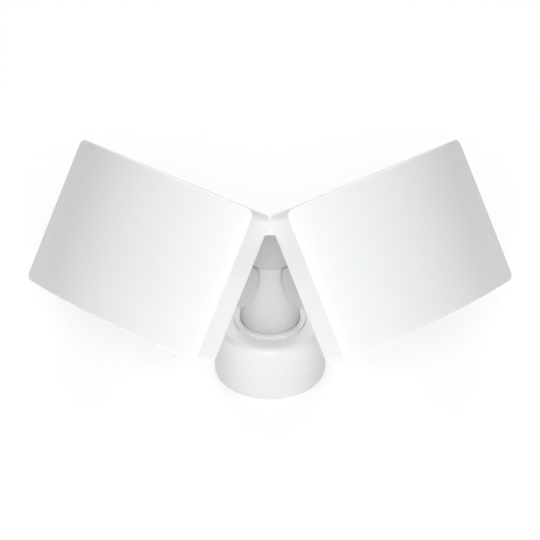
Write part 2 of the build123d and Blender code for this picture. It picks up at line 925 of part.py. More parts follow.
def housing_screws():
    """The eight screws that hold the front lens on the back plate."""
    with BuildPart() as screws:
        with BuildSketch(HEAD):
            with Locations(*screw_spots()):
                Circle(screw_head_radius)
        extrude(amount=-screw_head_height)
        with BuildSketch(HEAD):
            with Locations(*screw_spots()):
                Circle(screw_shank_radius)
        extrude(amount=screw_length)
        with BuildSketch(HEAD.offset(-screw_head_height)):
            with Locations(*screw_spots()):
                Rectangle(screw_slot_width, 2 * screw_head_radius)
        extrude(amount=screw_slot_depth, mode=Mode.SUBTRACT)
    return screws.part


def flat_plate(bottom, length, height, thickness):
    """A plate lying level in the head, centred on the light engine."""
    with BuildPart() as plate:
        with BuildSketch(HEAD.offset(bottom)):
            with Locations((board_centre_x, 0)):
                Rectangle(length, height)
        extrude(amount=thickness)
    return plate.part


board_bottom = plate_thickness + spreader_thickness
chip_bottom = board_bottom + board_thickness


def led_chips():
    """The grid of light-emitting chips on their board."""
    with BuildPart() as chips:
        with BuildSketch(HEAD.offset(chip_bottom)):
            with Locations((board_centre_x, 0)):
                with GridLocations(chip_pitch_x, chip_pitch_y, chip_columns, chip_rows):
                    Rectangle(chip_length, chip_width)
        extrude(amount=chip_height)
    return chips.part


def reflector_tray():
    """The white reflector sheet, with a hole at each chip and a low rim."""
    with BuildPart() as tray:
        with BuildSketch(HEAD.offset(chip_bottom)):
            with Locations((board_centre_x, 0)):
                Rectangle(board_length, board_height)
        extrude(amount=tray_rim_height)
        with BuildSketch(HEAD.offset(chip_bottom + tray_thickness)):
            with Locations((board_centre_x, 0)):
                Rectangle(board_length - 2 * tray_rim_wall, board_height - 2 * tray_rim_wall)
        extrude(amount=tray_rim_height, mode=Mode.SUBTRACT)
        with BuildSketch(HEAD.offset(chip_bottom)):
            with Locations((board_centre_x, 0)):
                with GridLocations(chip_pitch_x, chip_pitch_y, chip_columns, chip_rows):
                    Circle(tray_hole_radius)
        extrude(amount=tray_thickness, mode=Mode.SUBTRACT)
    return tray.part


def pivot_cap():
    """The plug over the pivot bolt's head."""
    with BuildPart() as cap:
        with BuildSketch(pivot_plane(lug_end_station - cap_recess)):
            Circle(lug_counterbore_radius)
        extrude(amount=-cap_thickness)
    return cap.part


def vent_plug():
    """The breather plug in the back plate."""
    with BuildPart() as vent:
        with BuildSketch(HEAD):
            with Locations(vent_spot):
                Circle(vent_radius)
        extrude(amount=-vent_height)
        crown = vent.faces().sort_by(Axis(head_origin, front))[0]
        fillet(crown.edges(), radius=vent_lip)
        with BuildSketch(HEAD):
            with Locations(vent_spot):
                Circle(vent_stem_radius)
        extrude(amount=plate_thickness)
    return vent.part


save_pair(rear_housing(), "rear_housing")
save_pair(front_lens(), "front_lens")
lens_gasket = rounded_frame(
    lens_wall + gasket_side_gap, lip_gap - 2 * gasket_side_gap, gasket_height
)
save_pair(lens_gasket, "lens_gasket")
save_pair(housing_screws(), "housing_screws")
heat_spreader = flat_plate(
    plate_thickness,
    board_length + 2 * spreader_margin,
    board_height + 2 * spreader_margin,
    spreader_thickness,
)
save_pair(heat_spreader, "heat_spreader")
led_board = flat_plate(board_bottom, board_length, board_height, board_thickness)
save_pair(led_board, "led_board")
save_pair(led_chips(), "led_chips")
save_pair(reflector_tray(), "reflector_tray")
save_pair(pivot_cap(), "pivot_cap")
save_pair(vent_plug(), "vent_plug")
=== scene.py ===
"""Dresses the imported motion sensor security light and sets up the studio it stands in."""

import logging
import math
from dataclasses import dataclass
from enum import Enum
from functools import cache
from typing import Any

import bmesh
import bpy
import numpy as np
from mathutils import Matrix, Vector


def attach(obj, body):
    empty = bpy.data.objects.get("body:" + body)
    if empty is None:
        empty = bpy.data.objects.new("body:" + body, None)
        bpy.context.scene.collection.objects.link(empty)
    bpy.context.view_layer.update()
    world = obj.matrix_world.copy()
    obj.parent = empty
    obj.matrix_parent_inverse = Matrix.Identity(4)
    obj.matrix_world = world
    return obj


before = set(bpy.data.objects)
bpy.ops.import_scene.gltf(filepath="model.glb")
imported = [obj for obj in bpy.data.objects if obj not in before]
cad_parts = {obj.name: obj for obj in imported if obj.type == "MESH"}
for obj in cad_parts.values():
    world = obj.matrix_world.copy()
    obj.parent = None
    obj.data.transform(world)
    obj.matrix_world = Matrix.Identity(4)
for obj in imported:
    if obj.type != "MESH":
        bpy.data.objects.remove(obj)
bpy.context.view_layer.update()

log = logging.getLogger("security_light")

# Metres in a millimetre.
MM = 0.001
# The photograph's width and height, which are the render's too.
PHOTO_PIXELS = 540
# The width of the camera's sensor, from which its lens is worked out.
SENSOR_MM = 36.0
# How many times as long as wide a mark of a brushed, rolled or turned surface is drawn.
MARK_STRETCH = 20.0
# Octaves of noise: few leave soft waves, as sprayed paint has, and more leave grain on grain.
WAVE_DETAIL, DRIFT_DETAIL, GRAIN_DETAIL = 2.0, 3.0, 5.0
# The least roughness that a gloss drift may reach.
LEAST_ROUGHNESS = 0.02


def linear(code: str) -> tuple[float, float, float, float]:
    """Turns an sRGB hex colour into the linear colour that shaders take.

    Args:
        code: six hex digits, such as "e8e8e6".

    Returns:
        The linear red, green, blue and an alpha of one.
    """
    channels = [int(code[i:i + 2], 16) / 255 for i in (0, 2, 4)]
    turned = [c / 12.92 if c <= 0.04045 else ((c + 0.055) / 1.055) ** 2.4 for c in channels]
    return (turned[0], turned[1], turned[2], 1.0)


def per_mm(size: float) -> float:
    """Gives a texture scale, in repeats per metre, from the size of one repeat in mm."""
    return 1.0 / (size * MM)


def add_node(
    tree: bpy.types.NodeTree,
    kind: str,
    settings: dict[str, Any] | None = None,
    links: dict[str | int, bpy.types.NodeSocket] | None = None,
) -> bpy.types.Node:
    """Adds one node with its settings and incoming links.

    Args:
        tree: the node tree to add to.
        kind: the node's Blender type name.
        settings: node attributes by name, or socket defaults by socket name or number.
        links: sockets to link into this node's inputs, by input name or number.

    Returns:
        The new node.
    """
    node = tree.nodes.new(kind)
    for key, value in (settings or {}).items():
        if isinstance(key, str) and hasattr(node, key):
            setattr(node, key, value)
        else:
            node.inputs[key].default_value = value
    for key, source in (links or {}).items():
        tree.links.new(source, node.inputs[key])
    return node


class Relief(Enum):
    """How a finish's surface relief is patterned.

    Orange peel is the soft waves of sprayed paint, and fine grain the skin that a textured mould
    leaves. Brushed marks run one way, as rolling and turning leave them, and cells are shallow
    pits side by side.
    """

    ORANGE_PEEL = "orange peel"
    FINE_GRAIN = "fine grain"
    BRUSHED = "brushed"
    CELLS = "cells"


@dataclass(frozen=True)
class Finish:
    """One real material: its colour, its gloss and the relief of its surface.

    Attributes:
        name: the material's common name and how its surface was made.
        colour: sRGB hex of its main colour.
        shade: sRGB hex of the slightly different colour it drifts towards.
        roughness: microfacet roughness.
        metallic: one for bare metal.
        ior: refractive index; metals keep the default.
        relief: the pattern of its surface.
        relief_mm: the size of one repeat of that pattern.
        relief_depth_mm: how deep the pattern is.
        drift_mm: the size of the patches of the slow colour drift.
        gloss_drift: how far the roughness drifts each way over those patches.
        coat: weight of a clear coat.
        coat_roughness: that coat's own roughness.
        subsurface: weight of light scattered below the surface.
        scatter_mm: how far that light travels.
    """

    name: str
    colour: str
    shade: str
    roughness: float
    metallic: float = 0.0
    ior: float = 1.5
    relief: Relief = Relief.FINE_GRAIN
    relief_mm: float = 0.8
    relief_depth_mm: float = 0.01
    drift_mm: float = 40.0
    gloss_drift: float = 0.05
    coat: float = 0.0
    coat_roughness: float = 0.12
    subsurface: float = 0.0
    scatter_mm: float = 4.0

    def pattern(
        self, tree: bpy.types.NodeTree, place: bpy.types.NodeSocket
    ) -> bpy.types.NodeSocket:
        """Adds the relief's height pattern.

        Args:
            tree: the material's node tree.
            place: object coordinates.

        Returns:
            The socket with the pattern's height, from zero to one.
        """
        scale = per_mm(self.relief_mm)
        if self.relief is Relief.CELLS:
            cells = add_node(tree, "ShaderNodeTexVoronoi", {"Scale": scale}, {"Vector": place})
            return cells.outputs["Distance"]
        if self.relief is Relief.BRUSHED:
            stretch = {"Scale": (1.0 / MARK_STRETCH, 1.0, 1.0)}
            marks = add_node(tree, "ShaderNodeMapping", stretch, {"Vector": place})
            place = marks.outputs["Vector"]
        detail = WAVE_DETAIL if self.relief is Relief.ORANGE_PEEL else GRAIN_DETAIL
        noise = add_node(
            tree, "ShaderNodeTexNoise", {"Scale": scale, "Detail": detail}, {"Vector": place}
        )
        return noise.outputs["Fac"]

    def build(self) -> bpy.types.Material:
        """Builds the material.

        Returns:
            A material with a slow colour drift, a roughness drift and a surface relief.
        """
        material = bpy.data.materials.new(self.name)
        material.use_nodes = True
        tree = material.node_tree
        tree.nodes.clear()
        place = add_node(tree, "ShaderNodeTexCoord").outputs["Object"]
        slow = add_node(
            tree,
            "ShaderNodeTexNoise",
            {"Scale": per_mm(self.drift_mm), "Detail": DRIFT_DETAIL},
            {"Vector": place},
        )
        colour = add_node(
            tree,
            "ShaderNodeMix",
            {"data_type": "RGBA", 6: linear(self.colour), 7: linear(self.shade)},
            {0: slow.outputs["Fac"]},
        )
        gloss = add_node(
            tree,
            "ShaderNodeMapRange",
            {
                "To Min": max(LEAST_ROUGHNESS, self.roughness - self.gloss_drift),
                "To Max": min(1.0, self.roughness + self.gloss_drift),
            },
            {"Value": slow.outputs["Fac"]},
        )
        relief = add_node(
            tree,
            "ShaderNodeBump",
            {"Strength": 1.0, "Distance": self.relief_depth_mm * MM},
            {"Height": self.pattern(tree, place)},
        )
        shader = add_node(
            tree,
            "ShaderNodeBsdfPrincipled",
            {
                "Metallic": self.metallic,
                "IOR": self.ior,
                "Coat Weight": self.coat,
                "Coat Roughness": self.coat_roughness,
                "Subsurface Weight": self.subsurface,
                "Subsurface Scale": self.scatter_mm * MM,
            },
            {
                "Base Color": colour.outputs[2],
                "Roughness": gloss.outputs["Result"],
                "Normal": relief.outputs["Normal"],
            },
        )
        add_node(tree, "ShaderNodeOutputMaterial", {}, {"Surface": shader.outputs["BSDF"]})
        return material


# The outer finishes. A pattern is drawn at its real size unless its comment gives another.
#
# Weatherproof polycarbonate, injection moulded in a lightly grained mould. It gives the eye an even
# satin white with soft edges, as a little light sinks in. The grain is about 0.1 mm wide and is
# drawn at 1.2 mm, or it wouldn't show.
POLYCARBONATE = Finish(
    "polycarbonate_moulded_white", "e7e7e6", "e3e3e2", 0.42, ior=1.58,
    relief_mm=1.2, relief_depth_mm=0.006, coat=0.15, subsurface=0.05,
)
# The canopy's polycarbonate with the same satin, coloured a shade greyer as painted shade for the
# shade that the two heads cast on the column, which so stands off from the canopy. Its grain is
# drawn as coarse.
NECK_POLYCARBONATE_PAINTED_SHADE = Finish(
    "polycarbonate_neck_painted_shade", "c9c9c8", "c4c4c3", 0.44, ior=1.58,
    relief_mm=1.2, relief_depth_mm=0.006, coat=0.12, subsurface=0.05,
)
# Polyester powder, sprayed on die-cast aluminium and baked. It gives a duller white than the
# plastic, with the low waves of orange peel.
POWDER_COAT = Finish(
    "powder_coat_white", "f0f0ef", "eaeae9", 0.5,
    relief=Relief.ORANGE_PEEL, relief_mm=1.4, relief_depth_mm=0.03, coat=0.1,
)
# Opal polycarbonate, injection moulded in a polished mould. It gives a smooth, milky white that
# light soaks into, with a soft gloss and waves too low to see as such.
OPAL = Finish(
    "opal_polycarbonate", "f8f8f8", "f5f5f5", 0.32, ior=1.58,
    relief_mm=2.5, relief_depth_mm=0.004, coat=0.2, subsurface=0.12,
)
# Milky polyethylene, moulded thin so that heat passes. It gives a dull grey-white window. Its grain
# of about 0.1 mm is drawn at 0.6 mm.
POLYETHYLENE = Finish(
    "milky_polyethylene", "b9b9b9", "b3b3b3", 0.48, ior=1.51,
    relief_mm=0.6, relief_depth_mm=0.006, subsurface=0.1,
)
# Grey ABS, injection moulded in a spark-eroded mould. It gives plain mid-grey knobs, ticks and
# breathers with a fine pitted skin. The pits are about 0.2 mm wide and are drawn at 0.6 mm.
GREY_ABS = Finish(
    "abs_grey_moulded", "5b5d60", "65676a", 0.5, ior=1.54,
    relief=Relief.CELLS, relief_mm=0.6, relief_depth_mm=0.03,
)
# Thermoplastic rubber, moulded round the knobs. It gives a dark, dull ring that looks soft to hold.
# Its skin of about 0.1 mm is drawn at 0.4 mm.
SOFT_GRIP = Finish(
    "rubber_grip_moulded", "3c3d3f", "46474a", 0.7,
    relief_mm=0.4, relief_depth_mm=0.02, drift_mm=3.0,
)
# Nylon, injection moulded. It gives a warm white with a satin skin. The skin's grain of about
# 0.1 mm is drawn at 0.7 mm.
NYLON = Finish(
    "nylon_moulded", "e9e9e7", "e2e2df", 0.45, ior=1.53, relief_mm=0.7, relief_depth_mm=0.01
)
# Closed-cell foam, cut from sheet. It gives a black, dull edge with open pits. The cells are about
# 0.3 mm wide and are drawn at 0.9 mm.
FOAM = Finish(
    "foam_closed_cell", "1d1d1d", "262626", 0.9, ior=1.4,
    relief=Relief.CELLS, relief_mm=0.9, relief_depth_mm=0.25,
)
# Silicone rubber, moulded. It gives a pale grey line that looks soft, with dust-fine grain that is
# drawn at 0.5 mm.
SILICONE = Finish("silicone_moulded", "c4c4bf", "b9b9b4", 0.6, ior=1.41, relief_mm=0.5)

# The bare metals. Their marks are 0.05 to 0.1 mm apart and are drawn five to ten times as wide.
#
# Steel sheet, rolled, pressed and zinc plated. It gives a pale, slightly blue grey with marks one
# way and the cloudy patches of the plating.
ZINC_STEEL = Finish(
    "steel_zinc_plated", "b4b7ba", "9fa3a8", 0.36, metallic=1.0,
    relief=Relief.BRUSHED, relief_mm=0.5, relief_depth_mm=0.01, drift_mm=9.0,
)
# Stainless steel, turned or pressed into screws and springs. It gives small, clean grey glints.
STAINLESS = Finish(
    "steel_stainless_turned", "a9abad", "989a9c", 0.28, metallic=1.0,
    relief=Relief.BRUSHED, relief_mm=0.35, relief_depth_mm=0.006, drift_mm=6.0,
)
# Brass, turned. It gives a warm yellow with long, soft glints.
BRASS = Finish(
    "brass_turned", "c8a45a", "b48f48", 0.3, metallic=1.0,
    relief=Relief.BRUSHED, relief_mm=0.35, relief_depth_mm=0.006, drift_mm=5.0,
)
# Aluminium sheet, rolled. It gives a light, even grey with marks one way.
ALUMINIUM = Finish(
    "aluminium_rolled", "c9cbcd", "b7b9bc", 0.34, metallic=1.0,
    relief=Relief.BRUSHED, relief_mm=0.5, relief_depth_mm=0.01, drift_mm=12.0,
)
# A drawn steel can, nickel plated. It gives a warm, bright grey that is barely marked.
NICKEL = Finish(
    "nickel_plated_can", "bdbab2", "aaa79f", 0.25, metallic=1.0, relief_mm=0.4, drift_mm=3.0
)

# The finishes inside, which show from below or with the light taken apart. A grain finer than
# 0.3 mm is drawn at 0.4 to 0.7 mm.
#
# Steel dyed green, for the earth screw. It gives a clear green under a thin gloss.
EARTH_GREEN = Finish(
    "steel_dyed_green", "1f6b34", "2a7c40", 0.4, relief_mm=0.5, drift_mm=4.0, coat=0.3
)
# Black ABS, moulded in a spark-eroded mould. It gives a dull near-black with pits side by side.
BLACK_ABS = Finish(
    "abs_black_textured", "242426", "2c2c2e", 0.5, ior=1.54,
    relief=Relief.CELLS, relief_mm=0.7, relief_depth_mm=0.04,
)
# Pressed friction fibre, cut from sheet. It gives a rough brown, lighter and darker in patches.
FIBRE = Finish(
    "fibre_friction_facing", "4a4038", "5c5046", 0.85,
    relief_mm=0.6, relief_depth_mm=0.08, drift_mm=2.0,
)
# Acetal, turned from rod. It gives an off-white that looks waxy and slides.
ACETAL = Finish("acetal_turned", "dedcd6", "d3d1ca", 0.4, ior=1.48, relief_mm=0.6)
# Glass-fibre board, its copper printed over with a green mask. It gives a glossy dark green with
# lighter patches of about 3 mm, as copper under the mask gives. No track is drawn.
SOLDER_MASK = Finish(
    "solder_mask_green", "12492a", "1c5c36", 0.3,
    relief=Relief.CELLS, relief_mm=2.2, relief_depth_mm=0.03, drift_mm=3.0,
)
# Aluminium-cored board, printed over with a white mask. It gives a clean white round the chips.
WHITE_MASK = Finish(
    "solder_mask_white", "ececea", "e2e2df", 0.35, relief_mm=1.4, relief_depth_mm=0.02
)
# Phosphor stirred into silicone and poured over the chips. It gives a dull yellow.
PHOSPHOR = Finish(
    "phosphor_silicone", "e6cf58", "d9bf46", 0.35, ior=1.41, relief_mm=0.4, drift_mm=2.0
)
# White polyester film, formed by heat. It gives a bright, smooth tray with faint dimples.
REFLECTOR = Finish(
    "polyester_reflector_film", "f4f4f3", "ededec", 0.2, relief_mm=3.0, relief_depth_mm=0.01
)
# Clear resin, dripped over a printed cadmium track. It gives a glossy mottle of brown and orange,
# in patches as wide as the track's turns, 0.8 mm. The track itself isn't drawn.
CADMIUM_RESIN = Finish(
    "resin_over_cadmium", "8b4a2b", "c9805a", 0.2, relief_mm=0.5, drift_mm=0.8, coat=0.8
)
# Blue polyester, moulded. It gives a relay's even, half-dull blue.
BLUE_POLYESTER = Finish("polyester_blue_moulded", "1f4f9c", "28589f", 0.4, relief_mm=0.6)
# Vinyl tube, shrunk on by heat. It gives a glossy black skin with low ripples.
SLEEVE = Finish("pvc_shrink_sleeve", "1c1c22", "26262d", 0.3, relief_mm=1.0, coat=0.2)
# Polyester, moulded. It gives the trimmers' greyer blue.
TRIMMER = Finish("polyester_trimmer_case", "26558f", "2f5f98", 0.45, relief_mm=0.5)


@cache
def material_of(finish: Finish) -> bpy.types.Material:
    """Builds a finish once, however many pieces share it."""
    return finish.build()


def closed_tubes(name: str, rings: np.ndarray) -> bpy.types.Object:
    """Builds one mesh of closed tubes from rings of points.

    Each ring is joined to the next, point to point, by four-sided faces. A tube's first and last
    rings are each closed by one many-sided face.

    Args:
        name: the new piece's name.
        rings: the points in metres, shaped tubes x rings x points x 3.

    Returns:
        The piece, whose faces point outwards.
    """
    tubes, steps, around, _ = rings.shape
    index = np.arange(tubes * steps * around).reshape(tubes, steps, around)
    beside = np.roll(index, -1, axis=2)
    walls = np.stack([index[:, :-1], beside[:, :-1], beside[:, 1:], index[:, 1:]], axis=-1)
    ends = np.concatenate([index[:, 0, ::-1], index[:, -1]])
    faces = [*walls.reshape(-1, 4).tolist(), *ends.tolist()]
    return finished_mesh(name, rings.reshape(-1, 3), faces)


def closed_ring(name: str, grid: np.ndarray) -> bpy.types.Object:
    """Builds a surface that closes on itself both ways, such as a moulded ring.

    Args:
        name: the new piece's name.
        grid: the points in metres, shaped steps x points x 3; the last step joins the first.

    Returns:
        The piece, whose faces point outwards.
    """
    steps, around, _ = grid.shape
    index = np.arange(steps * around).reshape(steps, around)
    beside = np.roll(index, -1, axis=1)
    after = np.roll(index, -1, axis=0)
    walls = np.stack([index, beside, np.roll(after, -1, axis=1), after], axis=-1)
    return finished_mesh(name, grid.reshape(-1, 3), walls.reshape(-1, 4).tolist())


def finished_mesh(name: str, points: np.ndarray, faces: list[list[int]]) -> bpy.types.Object:
    """Puts points and faces into a new object with outward normals.

    Args:
        name: the new piece's name.
        points: its vertices in metres, shaped points x 3.
        faces: the vertex numbers of each face.

    Returns:
        The linked object, at the origin.
    """
    mesh = bpy.data.meshes.new(name)
    mesh.from_pydata(points.tolist(), [], faces)
    work = bmesh.new()
    work.from_mesh(mesh)
    bmesh.ops.recalc_face_normals(work, faces=work.faces)
    work.to_mesh(mesh)
    work.free()
    piece = bpy.data.objects.new(name, mesh)
    bpy.context.collection.objects.link(piece)
    return piece


class Side(Enum):
    """Which of the two lamp heads."""

    LEFT = "left"
    RIGHT = "right"


class SubAssembly:
    """One sub-assembly: what dresses its CAD nodes, and the pieces modelled onto them."""

    def finishes(self) -> dict[Finish, tuple[str, ...]]:
        """Gives each finish with the CAD nodes that take it."""
        return {}

    def pieces(self) -> list[bpy.types.Object]:
        """Builds and places the pieces that only the visual model has."""
        return []

    def build(self) -> None:
        """Dresses the CAD nodes, adds the pieces and reports each."""
        for finish, nodes in self.finishes().items():
            for node in nodes:
                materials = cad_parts[node].data.materials
                materials.clear()
                materials.append(material_of(finish))
                log.info("%s: %s", node, finish.name)
        for piece in self.pieces():
            log.info("%s: %d faces", piece.name, len(piece.data.polygons))


def mount(piece: bpy.types.Object, body: str, finish: Finish) -> bpy.types.Object:
    """Finishes a modelled piece and makes it ride on a body.

    Args:
        piece: the piece.
        body: the CAD body that it moves with.
        finish: its finish.

    Returns:
        The same piece.
    """
    piece.data.materials.append(material_of(finish))
    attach(piece, body)
    return piece


@dataclass
class Canopy(SubAssembly):
    """The round canopy with its crossbar, power supply and terminals."""

    def finishes(self) -> dict[Finish, tuple[str, ...]]:
        """Gives the canopy's finishes.

        Returns:
            Each finish with the CAD nodes that take it.
        """
        return {
            POLYCARBONATE: ("base_canopy",),
            FOAM: ("base_gasket",),
            ZINC_STEEL: ("mounting_bracket",),
            STAINLESS: ("canopy_side_screws", "driver_screws"),
            EARTH_GREEN: ("ground_screw",),
            BLACK_ABS: ("driver_box",),
            NYLON: ("terminal_block",),
            ACETAL: ("thrust_washer",),
        }


@dataclass
class Neck(SubAssembly):
    """The swivelling column and the ring nut that holds it."""

    def finishes(self) -> dict[Finish, tuple[str, ...]]:
        """Gives the neck's finishes.

        Returns:
            Each finish with the CAD nodes that take it.
        """
        return {
            # The column's greyer white is painted shade, for the shade the two heads cast on it.
            NECK_POLYCARBONATE_PAINTED_SHADE: ("neck_column",),
            ZINC_STEEL: ("retaining_nut",),
            STAINLESS: ("wave_washer",),
        }


@dataclass
class Sensor(SubAssembly):
    """The motion sensor under the window in the column's end."""

    def finishes(self) -> dict[Finish, tuple[str, ...]]:
        """Gives the sensor's finishes.

        Returns:
            Each finish with the CAD nodes that take it.
        """
        return {
            POLYETHYLENE: ("sensor_lens",),
            SILICONE: ("sensor_lens_seal",),
            SOLDER_MASK: ("sensor_board",),
            NICKEL: ("infrared_detector",),
            CADMIUM_RESIN: ("photocell",),
            BLUE_POLYESTER: ("relay",),
            SLEEVE: ("capacitor",),
            TRIMMER: ("potentiometers",),
        }


@dataclass
class Dials(SubAssembly):
    """The three adjusting knobs on the back of the column, with their grips and tick scales.

    Lengths are in metres.

    Attributes:
        angles: where each knob sits round the column, in degrees.
        level: the knobs' height.
        column_foot: the tapered column's radius at its foot, and the foot's height.
        column_top: its radius at its top, and the top's height.
        sweep: how far a knob turns each way, in degrees.
        ticks: how many ticks a scale has.
        tick_start: the ticks' inner distance from the knob's middle.
        tick_length: a short tick's length.
        long_tick: how much longer the middle and end ticks are.
        tick_width: a tick's width at its foot.
        tick_proud: how far a tick stands out of the wall.
        tick_sink: how far its foot goes into the wall.
        tick_sides: where the six corners of a tick's section lie across it, in tick widths.
        tick_rises: how high the last four of them stand, as shares of how far it stands out.
        grip_inner: the grip's radius inside, on the knob.
        grip_outer: its mean radius outside.
        grip_span: its two ends, measured outwards from the column's wall.
        grip_chamfer: the chamfer of its two outer edges.
        flutes: how many flutes it has.
        flute_depth: half their depth.
        flute_points: how many points go round one flute.
    """

    angles: tuple[float, ...] = (125.0, 90.0, 55.0)
    level: float = 112.3 * MM
    column_foot: tuple[float, float] = (30.5 * MM, 62.9 * MM)
    column_top: tuple[float, float] = (30.0 * MM, 141.6 * MM)
    sweep: float = 135.0
    ticks: int = 11
    tick_start: float = 6.7 * MM
    tick_length: float = 1.5 * MM
    long_tick: float = 0.7 * MM
    tick_width: float = 0.55 * MM
    tick_proud: float = 0.3 * MM
    tick_sink: float = 0.3 * MM
    tick_sides: tuple[float, ...] = (-0.5, 0.5, 0.5, 0.25, -0.25, -0.5)
    tick_rises: tuple[float, ...] = (0.6, 1.0, 1.0, 0.6)
    grip_inner: float = 5.1 * MM
    grip_outer: float = 5.5 * MM
    grip_span: tuple[float, float] = (-1.2 * MM, 2.2 * MM)
    grip_chamfer: float = 0.35 * MM
    flutes: int = 24
    flute_depth: float = 0.15 * MM
    flute_points: int = 6

    def finishes(self) -> dict[Finish, tuple[str, ...]]:
        """Gives the knobs' finish."""
        return {GREY_ABS: ("time_knob", "range_knob", "light_knob")}

    def wall(self, height: np.ndarray | float) -> np.ndarray | float:
        """Gives the tapered column's radius, which falls evenly from its foot to its top."""
        (low, foot), (high, top) = self.column_foot, self.column_top
        return low + (high - low) * (height - foot) / (top - foot)

    def wrapped(
        self, across: np.ndarray, up: np.ndarray, out: np.ndarray, angle: float
    ) -> np.ndarray:
        """Wraps points of a flat drawing round the column.

        The angle grows by the distance across over the wall's radius, the height is the knobs'
        level plus the distance up, and the radius is the wall's plus the distance out.

        Args:
            across: distances along the wall from the knob's middle.
            up: heights above it.
            out: distances out of the wall.
            angle: where the knob sits round the column, in degrees.

        Returns:
            The points, with a last axis of three.
        """
        height = self.level + up
        turn = np.radians(angle) + across / self.wall(height)
        reach = self.wall(height) + out
        return np.stack([reach * np.cos(turn), reach * np.sin(turn), height + 0 * turn], axis=-1)

    def scale(self) -> bpy.types.Object:
        """Builds the raised ticks round all three knobs.

        A tick is a six-sided ridge carried along a radius of its knob, and the radii divide the
        knob's sweep evenly. The first two corners of its section are sunk in the wall.

        Returns:
            The ticks as one piece, riding on the neck.
        """
        dial = np.radians(np.linspace(-self.sweep, self.sweep, self.ticks))[:, None, None]
        long = np.zeros(self.ticks)
        long[[0, self.ticks // 2, -1]] = self.long_tick
        reach = self.tick_start + np.stack([long * 0, self.tick_length + long], axis=1)[:, :, None]
        side = self.tick_width * np.array(self.tick_sides)
        foot = [-self.tick_sink] * 2
        rise = np.concatenate([foot, np.array(self.tick_rises) * self.tick_proud])
        across = reach * np.sin(dial) + side * np.cos(dial)
        up = reach * np.cos(dial) - side * np.sin(dial)
        out = np.broadcast_to(rise, across.shape)
        rings = np.concatenate([self.wrapped(across, up, out, angle) for angle in self.angles])
        return mount(closed_tubes("dial_ticks", rings), "neck", GREY_ABS)

    def grip(self, angle: float, body: str) -> bpy.types.Object:
        """Builds one knob's fluted grip.

        Round the knob's axis the outer radius is the mean plus a cosine wave of one crest a
        flute; the inner radius is even. Four corners with two chamfers close the section.

        Args:
            angle: where the knob sits round the column, in degrees.
            body: the knob's body.

        Returns:
            The grip, riding on its knob.
        """
        steps = self.flute_points * self.flutes
        around = np.linspace(0, 2 * np.pi, steps, endpoint=False)[:, None]
        low, high = self.grip_span
        inner, outer, chamfer = self.grip_inner, self.grip_outer, self.grip_chamfer
        radius = np.array([inner, outer - chamfer, outer, outer, outer - chamfer, inner])
        out = np.array([low, low, low + chamfer, high - chamfer, high, high])
        out += self.wall(self.level)
        waves = np.array([0, 1, 1, 1, 1, 0]) * self.flute_depth * np.cos(self.flutes * around)
        reach = radius + waves
        turn = math.radians(angle)
        outward = np.array([math.cos(turn), math.sin(turn), 0.0])
        sideways = np.array([-math.sin(turn), math.cos(turn), 0.0])
        grid = (
            out[None, :, None] * outward
            + (reach * np.cos(around))[..., None] * sideways
            + (self.level + reach * np.sin(around))[..., None] * np.array([0.0, 0.0, 1.0])
        )
        piece = closed_ring(f"{body}_grip", grid)
        return mount(piece, body, SOFT_GRIP)

    def pieces(self) -> list[bpy.types.Object]:
        """Builds the tick scales and the three grips."""
        bodies = ("time_dial", "range_dial", "light_dial")
        return [self.scale(), *(self.grip(angle, body) for angle, body in zip(self.angles, bodies))]


@dataclass
class Knuckle(SubAssembly):
    """The hardware of one tilting joint.

    Attributes:
        side: whose joint it is.
    """

    side: Side

    def finishes(self) -> dict[Finish, tuple[str, ...]]:
        """Gives the joint's finishes.

        Returns:
            Each finish with the CAD nodes that take it.
        """
        end = self.side.value
        return {
            BRASS: (f"pivot_insert_{end}",),
            FIBRE: (f"friction_disc_{end}",),
            STAINLESS: (f"spring_washer_{end}", f"pivot_bolt_{end}"),
            NYLON: (f"pivot_cap_{end}",),
        }


@dataclass
class Head(SubAssembly):
    """One lamp head: the opal front, the cast back and the light engine between them.

    Attributes:
        side: which head it is.
    """

    side: Side

    def finishes(self) -> dict[Finish, tuple[str, ...]]:
        """Gives the head's finishes.

        Returns:
            Each finish with the CAD nodes that take it.
        """
        end = self.side.value
        return {
            OPAL: (f"front_lens_{end}",),
            POWDER_COAT: (f"rear_housing_{end}",),
            SILICONE: (f"lens_gasket_{end}",),
            STAINLESS: (f"housing_screws_{end}",),
            ALUMINIUM: (f"heat_spreader_{end}",),
            WHITE_MASK: (f"led_board_{end}",),
            PHOSPHOR: (f"led_chips_{end}",),
            REFLECTOR: (f"reflector_tray_{end}",),
            GREY_ABS: (f"vent_plug_{end}",),
        }


@dataclass(frozen=True)
class Softbox:
    """One square soft light of the studio.

    Attributes:
        name: what it does.
        place: where it hangs, in metres.
        side: the length of its side, in metres.
        watts: its power.
    """

    name: str
    place: tuple[float, float, float]
    side: float
    watts: float

    def hang(self, aim: Vector) -> None:
        """Adds the light, turned towards a point.

        Args:
            aim: the point that it faces.
        """
        data = bpy.data.lights.new(self.name, "AREA")
        data.size = self.side
        data.energy = self.watts
        lamp = bpy.data.objects.new(self.name, data)
        bpy.context.collection.objects.link(lamp)
        lamp.location = self.place
        lamp.rotation_euler = (aim - Vector(self.place)).to_track_quat("-Z", "Y").to_euler()


